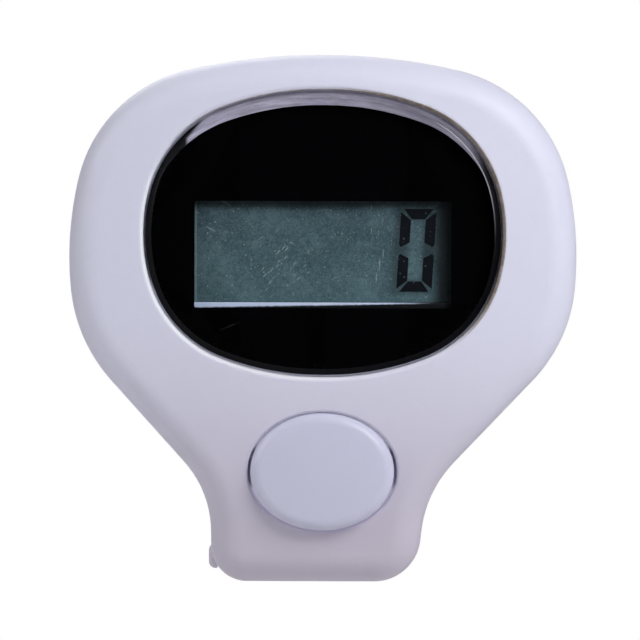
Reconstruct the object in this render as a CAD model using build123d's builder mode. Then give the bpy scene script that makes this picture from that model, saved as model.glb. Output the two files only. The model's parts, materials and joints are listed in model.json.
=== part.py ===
from build123d import *
import math
import os

os.makedirs("parts", exist_ok=True)

# Finger tally counter in millimetres. +Z is up, +X is to the right, and the display faces -Y.
# The two case shells part on the plane y = 0. A height is measured forwards from that plane, so a
# height of h is y = -h, and whatever lies behind the parting plane has a negative height.

# One overrun serves every cut, and one seat gap every pair of faces that rest on each other loosely.
overrun = 1.0
seat_gap = 0.05

# Display cell: the stack behind the mask, from the front. The view is the part of it that shows.
view_width = 19.2
view_height = 8.0
view_corner_radius = 0.15
glass_side = 2.2
glass_above = 1.43
glass_below = 1.67
glass_thickness = 0.5
contact_ledge = 1.9
polarizer_side = 1.3
polarizer_above = 1.06
polarizer_thickness = 0.2
reflector_inset = 0.4
reflector_thickness = 0.2
reflector_board_gap = 0.85
rail_show = 0.46
frame_gap = 0.1
frame_wall = 0.8
frame_lip = 0.4
zebra_inset = 1.0
zebra_depth = 1.6

# Black mask round the view, the lens in front of it, and the opening that holds them. The opening's
# corners are given on the right, from the top down to its middle, as shares of half its size.
mask_side = 3.82
mask_above = 8.28
mask_below = 5.12
mask_inset = 0.1
mask_drop = 0.95
mask_thickness = 0.08
adhesive_thickness = 0.07
window_edge_radius = 0.35
window_shares = [(0.282, 1.0), (0.894, 0.728), (1.0, 0.14)]
window_side_shares = [(0.43, 0.565), (0.765, 0.228)]
window_end_share = 0.47
lens_gap = 0.16
lens_recess = 0.9
lens_thickness = 1.0
lens_bevel_width = 0.45
lens_bevel_depth = 0.3
ledge_width = 1.0
ledge_thickness = 0.5
collar_wall = 1.1

# Case
window_side_margin = 5.58
window_top_margin = 2.65
front_height = 5.3
wall = 1.3
crown_radius = 150.0
crown_drop = 2.15
front_edge_radius = 2.4
back_edge_radius = 1.4
lip_inset = 0.7
lip_width = 0.55
lip_height = 0.7

# The head's corners on the right, from the top down, as shares of half the width and of the height.
# Below them the neck and the foot follow the count button. Each side gives the arcs at its first and
# its last corner a share of its length.
# Neck and foot stand a little to the left of the display's middle, as the photo shows them.
head_shares = [(0.273, 1.0), (0.887, 0.932), (1.013, 0.661), (0.976, 0.458)]
outline_side_shares = [(0.42, 0.575), (0.63, 0.36), (0.49, 0.5), (0.265, 0.195), (0.45, 0.38)]
outline_top_share = 0.49
neck_margin = 2.7
neck_drop = 1.6
neck_lean = 0.3
foot_margin = 2.3
foot_lean = 0.6
foot_corner_radius_right = 3.5
foot_corner_radius_left = 2.7

# Board
board_thickness = 0.8
board_inset = 2.3
board_foot_gap = 0.3
board_screw_inset = 4.1
board_boss_radius = 1.25
board_screw_radius = 0.55
board_screw_head_radius = 1.05
board_screw_head_height = 0.6
board_screw_length = 2.6

# Case screws, driven from the back into bosses of the front shell
upper_screw_inset = 4.4
upper_screw_drop = 8.0
lower_screw_inset = 8.0
lower_screw_lift = 0.15
boss_radius = 1.7
case_screw_radius = 0.8
case_screw_head_radius = 1.35
case_screw_head_height = 1.0
case_screw_length = 5.0
case_screw_sink = 2.0
screw_clearance = 0.12
thread_clearance = 0.02
drive_slot_width = 0.35
drive_slot_depth = 0.4
head_round_share = 0.45
boss_board_gap = 0.5

# Parts on the back of the board
chip_inset = 9.5
chip_drop = 3.5
chip_radius = 2.8
chip_height = 0.9
chip_dome_edge = 0.7
chip_row_drop = 5.6
capacitor_row_x = -3.6
capacitor_pitch = 2.0
capacitor_size = (1.25, 2.0, 0.85)
resistor_row_x = 2.8
resistor_pitch = 1.6
resistor_size = (0.8, 1.6, 0.45)

# Count button and its switch
button_width = 10.75
button_height = 8.85
button_foot_margin = 3.975
button_window_gap = 2.625
button_proud = 0.15
button_dome_radius = 42.0
button_edge_radius = 0.85
button_gap = 0.07
button_side_gap = 0.2
button_wall = 1.1
button_roof = 1.3
button_flange = 0.7
button_flange_drop = 2.6
flange_clearance = 0.12
button_post_radius = 1.3
button_hole_edge_radius = 0.2
guide_height = 2.8
guide_reach = 0.38
guide_rise = 0.75
guide_clearance = 0.12
switch_side = 4.5
switch_height = 1.2
switch_corner = 0.4
plunger_radius = 1.0
plunger_height = 0.7
plunger_clearance = 0.06
plunger_flange = 0.3
plunger_flange_thickness = 0.25
switch_floor = 0.15
switch_lid = 0.25
press_gap = 0.05

# Reset button on the back and its switch
reset_inset = 9.0
reset_drop = 2.0
reset_radius = 1.5
reset_recess = 0.4
reset_edge_radius = 0.2
reset_flange = 0.6
reset_clearance = 0.1
reset_switch_side = 3.0
reset_switch_height = 1.2
reset_plunger_radius = 0.6
reset_plunger_height = 0.4

# Button cell, its contacts, and the bayonet door over it
cell_radius = 5.8
cell_thickness = 3.05
cell_cap_inset = 1.0
cell_cap_height = 0.25
cell_board_drop = 0.15
cell_gap = 0.3
cell_edge_radius = 0.3
contact_sheet = 0.15
contact_width = 2.4
contact_overlap = 2.2
contact_dimple_radius = 1.0
clip_width = 2.8
clip_height = 2.1
clip_foot = 2.6
well_wall = 1.5
well_slot = 3.6
door_rim = 0.2
door_top_margin = 1.7
door_strap_gap = 0.7
door_flange_thickness = 0.6
door_clearance = 0.1
door_plug_clearance = 0.08
door_plug_depth = 1.0
door_cell_gap = 0.1
door_lug_reach = 0.6
door_lug_width = 3.6
door_ledge_thickness = 0.55
door_lug_clearance = 0.05
door_turn = 60
door_slot_length = 8.0
door_slot_width = 1.3
door_slot_depth = 0.45
door_edge_radius = 0.15

# Finger strap, its hinge at the foot and its peg on the back. The holes count back from the tail,
# and none falls in the bend.
strap_hole_steps = (0, 2, 3, 4)
strap_width = 8.0
strap_thickness = 1.2
strap_inner_radius = 8.5
strap_floor_gap = 0.1
strap_bend_radius = 1.6
strap_back_gap = 0.06
strap_tail = 1.9
strap_hole_radius = 0.9
strap_hole_pitch = 2.5
strap_edge_radius = 0.3
strap_end_radius = 2.6
saddle_depth = 1.0
saddle_radius = 10.0
peg_radius = 0.65
peg_height = 1.0
peg_edge_radius = 0.25
hinge_pin_radius = 0.6
hinge_knuckle_radius = 1.5
hinge_knuckle_inset = 0.15
hinge_clearance = 0.05
hinge_side_gap = 0.15
hinge_notch_gap = 0.25
hinge_notch_roof = 1.2
pin_press_gap = 0.02
pin_end_wall = 1.3
pin_head_radius = 0.95
pin_head_sink = 0.375
pin_head_proud = 0.275
pin_head_edge_radius = 0.5

# Heights of the stack, from the front to the back
lens_front = front_height - lens_recess
lens_back = lens_front - lens_thickness
mask_back = lens_back - mask_thickness
ledge_front = mask_back - adhesive_thickness
ledge_back = ledge_front - ledge_thickness
glass_front = ledge_back - frame_lip
glass_back = glass_front - glass_thickness
rear_glass_back = glass_back - glass_thickness
reflector_back = rear_glass_back - reflector_thickness
board_front = reflector_back - reflector_board_gap
board_back = board_front - board_thickness
cell_front = board_front - cell_board_drop
cell_back = cell_front - cell_thickness
door_plug_front = cell_back - door_cell_gap
door_flange_inner = door_plug_front - door_plug_depth
back_depth = door_flange_thickness - door_flange_inner
door_groove_back = door_flange_inner + door_ledge_thickness
back_inner = wall - back_depth
case_screw_seat = case_screw_sink - back_depth
case_screw_tip = case_screw_seat + case_screw_length
button_top = front_height + button_proud
button_flange_top = button_top - button_flange_drop
guide_top = button_flange_top + guide_rise

# Widths, from the display outwards
glass_width = view_width + glass_side * 2
window_width = view_width + mask_side * 2
window_height = mask_above + view_height + mask_below
case_width = window_width + window_side_margin * 2
half_width = case_width / 2
neck_half_width = button_width / 2 + neck_margin
foot_half_width = button_width / 2 + foot_margin
foot_left = foot_half_width + foot_lean
foot_right = foot_half_width - foot_lean

# The strap's loop, and the well and door above its peg
strap_centre_y = back_depth - saddle_depth + strap_inner_radius
strap_centre_z = strap_floor_gap + strap_thickness + strap_inner_radius
strap_line_radius = strap_inner_radius + strap_thickness / 2
strap_tab_y = back_depth + strap_back_gap + strap_thickness / 2
strap_top_z = strap_centre_z + strap_line_radius
peg_z = strap_top_z + strap_bend_radius + strap_hole_radius
strap_tab_top = peg_z + strap_tail
hinge_pin_z = hinge_knuckle_inset + hinge_knuckle_radius
hinge_pin_depth = back_depth - hinge_knuckle_inset - hinge_knuckle_radius
hinge_notch_front = hinge_pin_depth - hinge_knuckle_radius - hinge_notch_gap
hinge_notch_top = hinge_pin_z + hinge_knuckle_radius + hinge_notch_gap
foot_block_top = hinge_notch_top + hinge_notch_roof
well_radius = cell_radius + cell_gap
groove_radius = well_radius + door_lug_reach
door_radius = groove_radius + door_rim

# The case is as tall as the taller of two stacks: button and window in front, strap and door behind.
front_stack = button_foot_margin + button_height + button_window_gap + window_height + window_top_margin
back_stack = strap_tab_top + door_strap_gap + door_radius * 2 + door_top_margin
case_height = max(front_stack, back_stack)
button_z = button_foot_margin + button_height / 2
neck_z = button_z - neck_drop
window_z = case_height - window_top_margin - window_height / 2
view_z = window_z + window_height / 2 - mask_above - view_height / 2
crown_z = window_z - crown_drop
cell_z = case_height - door_top_margin - door_radius
glass_top = view_z + view_height / 2 + glass_above
glass_bottom = view_z - view_height / 2 - glass_below
glass_height = glass_top - glass_bottom
glass_z = (glass_top + glass_bottom) / 2

# Places of the screws, the chip and the reset button
upper_screw_x = half_width - upper_screw_inset
upper_screw_z = case_height - upper_screw_drop
lower_screw_x = half_width - lower_screw_inset
lower_screw_z = window_z - window_height / 2 + lower_screw_lift
board_screw_x = half_width - board_screw_inset
case_screw_places = [
    (-upper_screw_x, upper_screw_z),
    (upper_screw_x, upper_screw_z),
    (-lower_screw_x, lower_screw_z),
    (lower_screw_x, lower_screw_z),
]
board_screw_places = [(-board_screw_x, crown_z), (board_screw_x, crown_z), (0, lower_screw_z)]
chip_place = (half_width - chip_inset, crown_z - chip_drop)
reset_place = (reset_inset - half_width, crown_z - reset_drop)


def tangent_radii(corners, side_shares):
    """The arc radius at each corner that uses up the corner's shares of its two sides."""
    radii = []
    for index, corner in enumerate(corners):
        before = Vector(*corner) - Vector(*corners[index - 1])
        after = Vector(*corners[(index + 1) % len(corners)]) - Vector(*corner)
        reach_before = before.length * side_shares[index - 1][1]
        reach_after = after.length * side_shares[index][0]
        half_turn = math.radians(before.get_angle(after)) / 2
        radii.append(min(reach_before, reach_after) / math.tan(half_turn))
    return radii


def rounded_outline(corners, radii):
    """A closed outline through the corners, with a tangent arc at each."""
    with BuildSketch() as outline:
        with BuildLine():
            FilletPolyline(*corners, radius=radii, close=True)
        make_face()
    return outline.sketch


def both_sides(right, sides, top_share, foot_share):
    """Corners and side shares of an outline that is alike on either side of x = 0."""
    left = [(-x, z) for x, z in reversed(right)]
    left_sides = [(last, first) for first, last in reversed(sides)]
    return right + left, sides + [(foot_share, foot_share)] + left_sides + [(top_share, top_share)]


def grown(outline, amount):
    """The outline moved outwards by the amount, or inwards where it is negative."""
    with BuildSketch() as moved:
        add(outline)
        offset(amount=amount, kind=Kind.INTERSECTION)
    return moved.sketch


def at_height(height):
    """The plane that faces the viewer at this height in front of the parting plane."""
    return Plane.XZ.offset(height)


case_right = [(x * half_width, z * case_height) for x, z in head_shares]
case_right += [(neck_half_width, neck_z), (foot_half_width, 0)]
foot_share = (foot_corner_radius_left + foot_corner_radius_right) / foot_half_width / 4
case_corners, case_shares = both_sides(case_right, outline_side_shares, outline_top_share, foot_share)
neck_corner, foot_corner = len(case_right) - 2, len(case_right) - 1
corner_leans = {
    neck_corner: neck_lean,
    foot_corner: foot_lean,
    foot_corner + 1: foot_lean,
    foot_corner + 2: neck_lean,
}
for corner, lean in corner_leans.items():
    x, z = case_corners[corner]
    case_corners[corner] = (x - lean, z)
case_radii = tangent_radii(case_corners, case_shares)
case_radii[foot_corner] = foot_corner_radius_right
case_radii[foot_corner + 1] = foot_corner_radius_left
case_outline = rounded_outline(case_corners, case_radii)

window_upper = [(x * window_width / 2, z * window_height / 2) for x, z in window_shares]
window_right = window_upper + [(x, -z) for x, z in reversed(window_upper)]
window_right_shares = window_side_shares + [(window_end_share, window_end_share)]
window_right_shares += [(last, first) for first, last in reversed(window_side_shares)]
window_corners, window_shares_all = both_sides(
    window_right, window_right_shares, window_end_share, window_end_share
)
window_places = [(x, z + window_z) for x, z in window_corners]
window_outline = rounded_outline(window_places, tangent_radii(window_places, window_shares_all))


def crowned(peak, radius):
    """The space behind a shallow dome that peaks at this height."""
    reach = math.hypot(crown_z, half_width)
    rim = math.sqrt(radius**2 - reach**2) - radius + peak
    with BuildPart() as dome:
        with BuildSketch(Plane.XY.offset(crown_z)):
            with BuildLine():
                CenterArc((0, radius - peak), radius, -90, math.degrees(math.asin(reach / radius)))
                Polyline((reach, -rim), (reach, overrun), (0, overrun), (0, -peak))
            make_face()
        revolve(axis=Axis((0, 0, crown_z), (0, 1, 0)))
    return dome.part


crown_outside = crowned(front_height, crown_radius)
crown_inside = crowned(front_height - wall, crown_radius - wall)
button_size = (button_width / 2, button_height / 2)
flange_size = (button_size[0] + button_flange, button_size[1] + button_flange)

# Space inside the front shell: what is cut from it here stays as a boss or as the window's collar
with BuildPart() as front_cavity:
    with BuildSketch(Plane.XZ):
        add(grown(case_outline, -wall))
    extrude(amount=front_height)
    add(crown_inside, mode=Mode.INTERSECT)
    fillet(front_cavity.faces().sort_by(Axis.Y)[0].edges(), front_edge_radius - wall)
    with BuildSketch(at_height(seat_gap)):
        with Locations(*case_screw_places):
            Circle(boss_radius)
    extrude(amount=front_height, mode=Mode.SUBTRACT)
    with BuildSketch(at_height(board_front)):
        with Locations(*board_screw_places):
            Circle(board_boss_radius)
    extrude(amount=front_height, mode=Mode.SUBTRACT)
    with BuildSketch(at_height(ledge_back)):
        add(grown(window_outline, collar_wall))
    extrude(amount=front_height, mode=Mode.SUBTRACT)

with BuildPart() as front_shell:
    with BuildSketch(Plane.XZ):
        add(case_outline)
    extrude(amount=front_height + overrun)
    add(crown_outside, mode=Mode.INTERSECT)
    fillet(front_shell.faces().sort_by(Axis.Y)[0].edges(), front_edge_radius)
    # window with its ledge for the lens
    with BuildSketch(at_height(ledge_front)):
        add(window_outline)
    extrude(amount=front_height, mode=Mode.SUBTRACT)
    rim = front_shell.edges(Select.LAST).filter_by(GeomType.LINE, reverse=True)
    rim = rim.filter_by_position(Axis.Y, -front_height, -ledge_front, inclusive=(True, False))
    fillet(rim, window_edge_radius)
    add(front_cavity.part, mode=Mode.SUBTRACT)
    with BuildSketch(Plane.XZ):
        add(grown(window_outline, -ledge_width))
    extrude(amount=front_height, mode=Mode.SUBTRACT)
    # step on the rim for the lip of the rear shell
    with BuildSketch(Plane.XZ):
        add(grown(case_outline, seat_gap - lip_inset))
        add(grown(case_outline, -wall - seat_gap), mode=Mode.SUBTRACT)
    extrude(amount=lip_height + seat_gap, mode=Mode.SUBTRACT)
    # pilot holes for the screws
    with BuildSketch(Plane.XZ):
        with Locations(*case_screw_places):
            Circle(case_screw_radius + thread_clearance)
    extrude(amount=case_screw_tip + screw_clearance, mode=Mode.SUBTRACT)
    with BuildSketch(Plane.XZ):
        with Locations(*board_screw_places):
            Circle(board_screw_radius + thread_clearance)
    extrude(amount=board_back + board_screw_length + screw_clearance, mode=Mode.SUBTRACT)
    # pocket for the button's flange, and the hole that the button stands in
    with BuildSketch(at_height(board_front)):
        with Locations((0, button_z)):
            Ellipse(flange_size[0] + flange_clearance, flange_size[1] + flange_clearance)
    extrude(amount=button_flange_top + press_gap - board_front, mode=Mode.SUBTRACT)
    with BuildSketch(Plane.XZ):
        with Locations((0, button_z)):
            Ellipse(button_size[0] + button_side_gap, button_size[1] + button_gap)
    extrude(amount=front_height + overrun, mode=Mode.SUBTRACT)
    mouth = front_shell.edges(Select.LAST).filter_by_position(
        Axis.Y, -front_height, -button_flange_top - wall / 2, inclusive=(True, False)
    )
    fillet(mouth, button_hole_edge_radius)
    with BuildSketch(at_height(board_front)):
        with Locations((0, button_z)):
            Rectangle(button_width + guide_reach * 2, guide_height)
    extrude(amount=guide_top + press_gap - board_front, mode=Mode.SUBTRACT)

front_shell.part.label = "front_shell"
export_step(front_shell.part, "parts/front_shell.step")

# Rear shell: saddle for the finger, well for the cell, hinge notch for the strap, screw columns
saddle_centre = (0, back_depth - saddle_depth + saddle_radius, strap_centre_z)

with BuildPart() as rear_cavity:
    with BuildSketch(at_height(back_inner)):
        add(grown(case_outline, -wall))
        Rectangle(case_width, foot_block_top * 2, mode=Mode.SUBTRACT)
    extrude(amount=-back_inner)
    with Locations(saddle_centre):
        Cylinder(saddle_radius + wall, case_width, rotation=(0, 90, 0), mode=Mode.SUBTRACT)
    with BuildSketch(at_height(back_inner)):
        with Locations(*case_screw_places):
            Circle(boss_radius)
    extrude(amount=-back_inner - seat_gap, mode=Mode.SUBTRACT)
    with BuildSketch(at_height(back_inner)):
        with Locations((0, cell_z)):
            Circle(well_radius + well_wall)
    extrude(amount=board_back - back_inner - seat_gap, mode=Mode.SUBTRACT)

with BuildPart() as rear_shell:
    with BuildSketch(at_height(-back_depth)):
        add(case_outline)
    extrude(amount=back_depth)
    fillet(rear_shell.faces().sort_by(Axis.Y)[-1].edges(), back_edge_radius)
    with Locations(saddle_centre):
        Cylinder(saddle_radius, case_width, rotation=(0, 90, 0), mode=Mode.SUBTRACT)
    add(rear_cavity.part, mode=Mode.SUBTRACT)
    # lip that stands in the step of the front shell
    with BuildSketch(Plane.XZ):
        add(grown(case_outline, -lip_inset))
        add(grown(case_outline, -lip_inset - lip_width), mode=Mode.SUBTRACT)
    extrude(amount=lip_height)
    # screw holes with their sunk heads
    with BuildSketch(at_height(-back_depth)):
        with Locations(*case_screw_places):
            Circle(case_screw_head_radius + screw_clearance)
    extrude(amount=case_screw_sink, mode=Mode.SUBTRACT)
    with BuildSketch(at_height(-back_depth)):
        with Locations(*case_screw_places):
            Circle(case_screw_radius + screw_clearance)
    extrude(amount=back_depth, mode=Mode.SUBTRACT)
    # well of the cell, groove under the door's ledge, and the door's seat with its entry notches
    with BuildSketch(at_height(-back_depth)):
        with Locations((0, cell_z)):
            Circle(well_radius)
    extrude(amount=back_depth, mode=Mode.SUBTRACT)
    with BuildSketch(at_height(door_groove_back)):
        with Locations((0, cell_z)):
            Circle(groove_radius)
    extrude(amount=door_plug_front + door_lug_clearance - door_groove_back, mode=Mode.SUBTRACT)
    with BuildSketch(at_height(-back_depth)):
        with Locations((0, cell_z)):
            Circle(door_radius + door_clearance)
    extrude(amount=door_flange_thickness, mode=Mode.SUBTRACT)
    with BuildSketch(at_height(-back_depth)):
        with Locations((0, cell_z)):
            Rectangle(groove_radius * 2, door_lug_width + door_clearance * 2, rotation=-door_turn)
    extrude(amount=door_plug_depth + door_flange_thickness, mode=Mode.SUBTRACT)
    with BuildSketch(at_height(cell_back)):
        with Locations((well_radius + well_wall / 2, cell_z)):
            Rectangle(well_wall * 2, well_slot)
    extrude(amount=-cell_back, mode=Mode.SUBTRACT)
    # reset button's hole
    with BuildSketch(at_height(-back_depth)):
        with Locations(reset_place):
            Circle(reset_radius + reset_clearance)
    extrude(amount=back_depth, mode=Mode.SUBTRACT)
    # hinge notch and pin hole at the foot
    with BuildSketch(at_height(-back_depth)):
        Rectangle(strap_width + hinge_side_gap * 2, hinge_notch_top * 2)
    extrude(amount=back_depth - hinge_notch_front, mode=Mode.SUBTRACT)
    with BuildSketch(Plane.YZ.offset(-half_width)):
        with Locations((hinge_pin_depth, hinge_pin_z)):
            Circle(hinge_pin_radius + pin_press_gap)
    extrude(amount=half_width + foot_right - pin_end_wall + pin_press_gap, mode=Mode.SUBTRACT)
    with BuildSketch(Plane.YZ.offset(-half_width)):
        with Locations((hinge_pin_depth, hinge_pin_z)):
            Circle(pin_head_radius + pin_press_gap)
    extrude(amount=half_width - foot_left + pin_head_sink, mode=Mode.SUBTRACT)
    # peg that holds the strap's tail
    with BuildSketch(at_height(-back_depth + peg_radius)):
        with Locations((0, peg_z)):
            Circle(peg_radius)
    extrude(amount=-peg_height - peg_radius)
    fillet(rear_shell.faces().sort_by(Axis.Y)[-1].edges(), peg_edge_radius)

rear_shell.part.label = "rear_shell"
export_step(rear_shell.part, "parts/rear_shell.step")

# Lens, printed mask and tape ring
lens_outline = grown(window_outline, -lens_gap)
with BuildPart() as display_lens:
    with BuildSketch(at_height(lens_back)):
        add(lens_outline)
    extrude(amount=lens_thickness)
    chamfer(
        display_lens.faces().sort_by(Axis.Y)[0].edges(),
        length=lens_bevel_width,
        length2=lens_bevel_depth,
        reference=display_lens.faces().sort_by(Axis.Y)[0],
    )

display_lens.part.label = "display_lens"
export_step(display_lens.part, "parts/display_lens.step")

with BuildSketch() as mask_outline:
    add(grown(lens_outline, -mask_inset))
    with Locations((0, -mask_drop)):
        add(lens_outline, mode=Mode.INTERSECT)

with BuildPart() as display_mask:
    with BuildSketch(at_height(mask_back)):
        add(mask_outline.sketch)
        with Locations((0, view_z)):
            RectangleRounded(view_width, view_height, view_corner_radius, mode=Mode.SUBTRACT)
    extrude(amount=mask_thickness)

display_mask.part.label = "display_mask"
export_step(display_mask.part, "parts/display_mask.step")

with BuildPart() as lens_adhesive:
    with BuildSketch(at_height(ledge_front)):
        add(mask_outline.sketch)
        add(grown(window_outline, -ledge_width), mode=Mode.SUBTRACT)
    extrude(amount=adhesive_thickness)

lens_adhesive.part.label = "lens_adhesive"
export_step(lens_adhesive.part, "parts/lens_adhesive.step")

# Display cell
polarizer_width = view_width + polarizer_side * 2
polarizer_height = view_height - rail_show + polarizer_above
polarizer_z = view_z + (rail_show + polarizer_above) / 2
rear_glass_height = glass_height - contact_ledge
rear_glass_z = glass_top - rear_glass_height / 2

with BuildPart() as lcd_front_polarizer:
    with BuildSketch(at_height(glass_front)):
        with Locations((0, polarizer_z)):
            Rectangle(polarizer_width, polarizer_height)
    extrude(amount=polarizer_thickness)

lcd_front_polarizer.part.label = "lcd_front_polarizer"
export_step(lcd_front_polarizer.part, "parts/lcd_front_polarizer.step")

with BuildPart() as lcd_front_glass:
    with BuildSketch(at_height(glass_back)):
        with Locations((0, glass_z)):
            Rectangle(glass_width, glass_height)
    extrude(amount=glass_thickness)

lcd_front_glass.part.label = "lcd_front_glass"
export_step(lcd_front_glass.part, "parts/lcd_front_glass.step")

with BuildPart() as lcd_rear_glass:
    with BuildSketch(at_height(rear_glass_back)):
        with Locations((0, rear_glass_z)):
            Rectangle(glass_width, rear_glass_height)
    extrude(amount=glass_thickness)

lcd_rear_glass.part.label = "lcd_rear_glass"
export_step(lcd_rear_glass.part, "parts/lcd_rear_glass.step")

with BuildPart() as lcd_reflector:
    with BuildSketch(at_height(reflector_back)):
        with Locations((0, rear_glass_z)):
            Rectangle(glass_width - reflector_inset * 2, rear_glass_height - reflector_inset * 2)
    extrude(amount=reflector_thickness)

lcd_reflector.part.label = "lcd_reflector"
export_step(lcd_reflector.part, "parts/lcd_reflector.step")

frame_inner = (glass_width + frame_gap * 2, glass_height + frame_gap * 2)
frame_outer = (frame_inner[0] + frame_wall * 2, frame_inner[1] + frame_wall * 2)
frame_back = board_front + contact_sheet * 2
with BuildPart() as lcd_frame:
    with BuildSketch(at_height(frame_back)):
        with Locations((0, glass_z)):
            Rectangle(*frame_outer)
            Rectangle(*frame_inner, mode=Mode.SUBTRACT)
    extrude(amount=ledge_back - frame_back)
    with BuildSketch(at_height(glass_front)):
        with Locations((0, glass_z)):
            Rectangle(*frame_outer)
        with Locations((0, polarizer_z)):
            Rectangle(polarizer_width + frame_gap, polarizer_height + frame_gap, mode=Mode.SUBTRACT)
    extrude(amount=frame_lip)
    with BuildSketch(at_height(board_front)):
        with Locations((0, glass_z)):
            with GridLocations(frame_outer[0] - frame_wall, frame_outer[1] - frame_wall, 2, 2):
                Rectangle(frame_wall, frame_wall)
    extrude(amount=frame_back - board_front)

lcd_frame.part.label = "lcd_frame"
export_step(lcd_frame.part, "parts/lcd_frame.step")

with BuildPart() as zebra_strip:
    with BuildSketch(at_height(board_front)):
        with Locations((0, glass_bottom + contact_ledge / 2)):
            Rectangle(glass_width - zebra_inset * 2, zebra_depth)
    extrude(amount=glass_back - board_front)

zebra_strip.part.label = "zebra_strip"
export_step(zebra_strip.part, "parts/zebra_strip.step")

# Board, with a round hole for the cell and notches round the screw columns
with BuildPart() as circuit_board:
    with BuildSketch(at_height(board_back)):
        add(grown(case_outline, -board_inset))
        Rectangle(case_width, (foot_block_top + board_foot_gap) * 2, mode=Mode.SUBTRACT)
        with Locations(*case_screw_places):
            Circle(boss_radius + boss_board_gap, mode=Mode.SUBTRACT)
        with Locations((0, cell_z)):
            Circle(well_radius, mode=Mode.SUBTRACT)
            Rectangle(well_radius * 2, case_height, align=(Align.CENTER, Align.MIN), mode=Mode.SUBTRACT)
        with Locations(*board_screw_places):
            Circle(board_screw_radius + screw_clearance, mode=Mode.SUBTRACT)
    extrude(amount=board_thickness)

circuit_board.part.label = "circuit_board"
export_step(circuit_board.part, "parts/circuit_board.step")

# Epoxy over the bare chip, and the small chip parts
with BuildPart() as chip_blob:
    with BuildSketch(at_height(board_back)):
        with Locations(chip_place):
            Circle(chip_radius)
    extrude(amount=-chip_height)
    fillet(chip_blob.faces().sort_by(Axis.Y)[-1].edges(), chip_dome_edge)

chip_blob.part.label = "chip_blob"
export_step(chip_blob.part, "parts/chip_blob.step")

with BuildPart() as chip_capacitors:
    with BuildSketch(at_height(board_back)):
        with Locations((capacitor_row_x, crown_z - chip_row_drop)):
            with GridLocations(capacitor_pitch, 0, 2, 1):
                Rectangle(capacitor_size[0], capacitor_size[1])
    extrude(amount=-capacitor_size[2])

chip_capacitors.part.label = "chip_capacitors"
export_step(chip_capacitors.part, "parts/chip_capacitors.step")

with BuildPart() as chip_resistors:
    with BuildSketch(at_height(board_back)):
        with Locations((resistor_row_x, crown_z - chip_row_drop)):
            with GridLocations(resistor_pitch, 0, 3, 1):
                Rectangle(resistor_size[0], resistor_size[1])
    extrude(amount=-resistor_size[2])

chip_resistors.part.label = "chip_resistors"
export_step(chip_resistors.part, "parts/chip_resistors.step")


def push_switch(base, side, height, stem_radius, proud):
    """Body and plunger of a small push switch that stands on the base plane."""
    lid_underside = height - switch_lid
    with BuildPart() as body:
        with BuildSketch(base):
            RectangleRounded(side, side, switch_corner)
        extrude(amount=height)
        with BuildSketch(base.offset(switch_floor)):
            Circle(stem_radius + plunger_flange + plunger_clearance)
        extrude(amount=lid_underside - switch_floor, mode=Mode.SUBTRACT)
        with BuildSketch(base.offset(switch_floor)):
            Circle(stem_radius + plunger_clearance)
        extrude(amount=height, mode=Mode.SUBTRACT)
    with BuildPart() as plunger:
        with BuildSketch(base.offset(lid_underside - plunger_flange_thickness - plunger_clearance)):
            Circle(stem_radius + plunger_flange)
        extrude(amount=plunger_flange_thickness)
        with BuildSketch(base.offset(lid_underside - plunger_flange_thickness)):
            Circle(stem_radius)
        extrude(amount=switch_lid + plunger_flange_thickness + proud)
    return body.part, plunger.part


# Switch under the count button
count_base = Plane(origin=(0, -board_front, button_z), x_dir=(1, 0, 0), z_dir=(0, -1, 0))
count_switch_body, count_switch_plunger = push_switch(
    count_base, switch_side, switch_height, plunger_radius, plunger_height
)
count_switch_body.label = "count_switch_body"
export_step(count_switch_body, "parts/count_switch_body.step")
count_switch_plunger.label = "count_switch_plunger"
export_step(count_switch_plunger, "parts/count_switch_plunger.step")

# Switch under the reset button, on the back of the board
reset_base = Plane(origin=(reset_place[0], -board_back, reset_place[1]), x_dir=(-1, 0, 0), z_dir=(0, 1, 0))
reset_switch_body, reset_switch_plunger = push_switch(
    reset_base, reset_switch_side, reset_switch_height, reset_plunger_radius, reset_plunger_height
)
reset_switch_body.label = "reset_switch_body"
export_step(reset_switch_body, "parts/reset_switch_body.step")
reset_switch_plunger.label = "reset_switch_plunger"
export_step(reset_switch_plunger, "parts/reset_switch_plunger.step")

# Count button: a domed oval cap with a flange that keeps it in, two guide ribs and a post
button_foot = board_front + switch_height + plunger_height + press_gap
hollow_size = (button_size[0] - button_wall, button_size[1] - button_wall)
with BuildPart() as count_button:
    with BuildSketch(at_height(button_foot)):
        with Locations((0, button_z)):
            Ellipse(*button_size)
    extrude(amount=button_top - button_foot)
    with Locations((0, button_dome_radius - button_top, button_z)):
        Sphere(button_dome_radius, mode=Mode.INTERSECT)
    fillet(count_button.faces().sort_by(Axis.Y)[0].edges(), button_edge_radius)
    with BuildSketch(at_height(button_foot)):
        with Locations((0, button_z)):
            Rectangle(button_width + (guide_reach - guide_clearance) * 2, guide_height - guide_clearance * 2)
    extrude(amount=guide_top - button_foot)
    with BuildSketch(at_height(button_foot)):
        with Locations((0, button_z)):
            Ellipse(*flange_size)
    extrude(amount=button_flange_top - button_foot)
    with BuildSketch(at_height(button_foot)):
        with Locations((0, button_z)):
            Ellipse(*hollow_size)
            Circle(button_post_radius, mode=Mode.SUBTRACT)
    extrude(amount=button_top - button_roof - button_foot, mode=Mode.SUBTRACT)

count_button.part.label = "count_button"
export_step(count_button.part, "parts/count_button.step")

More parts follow.
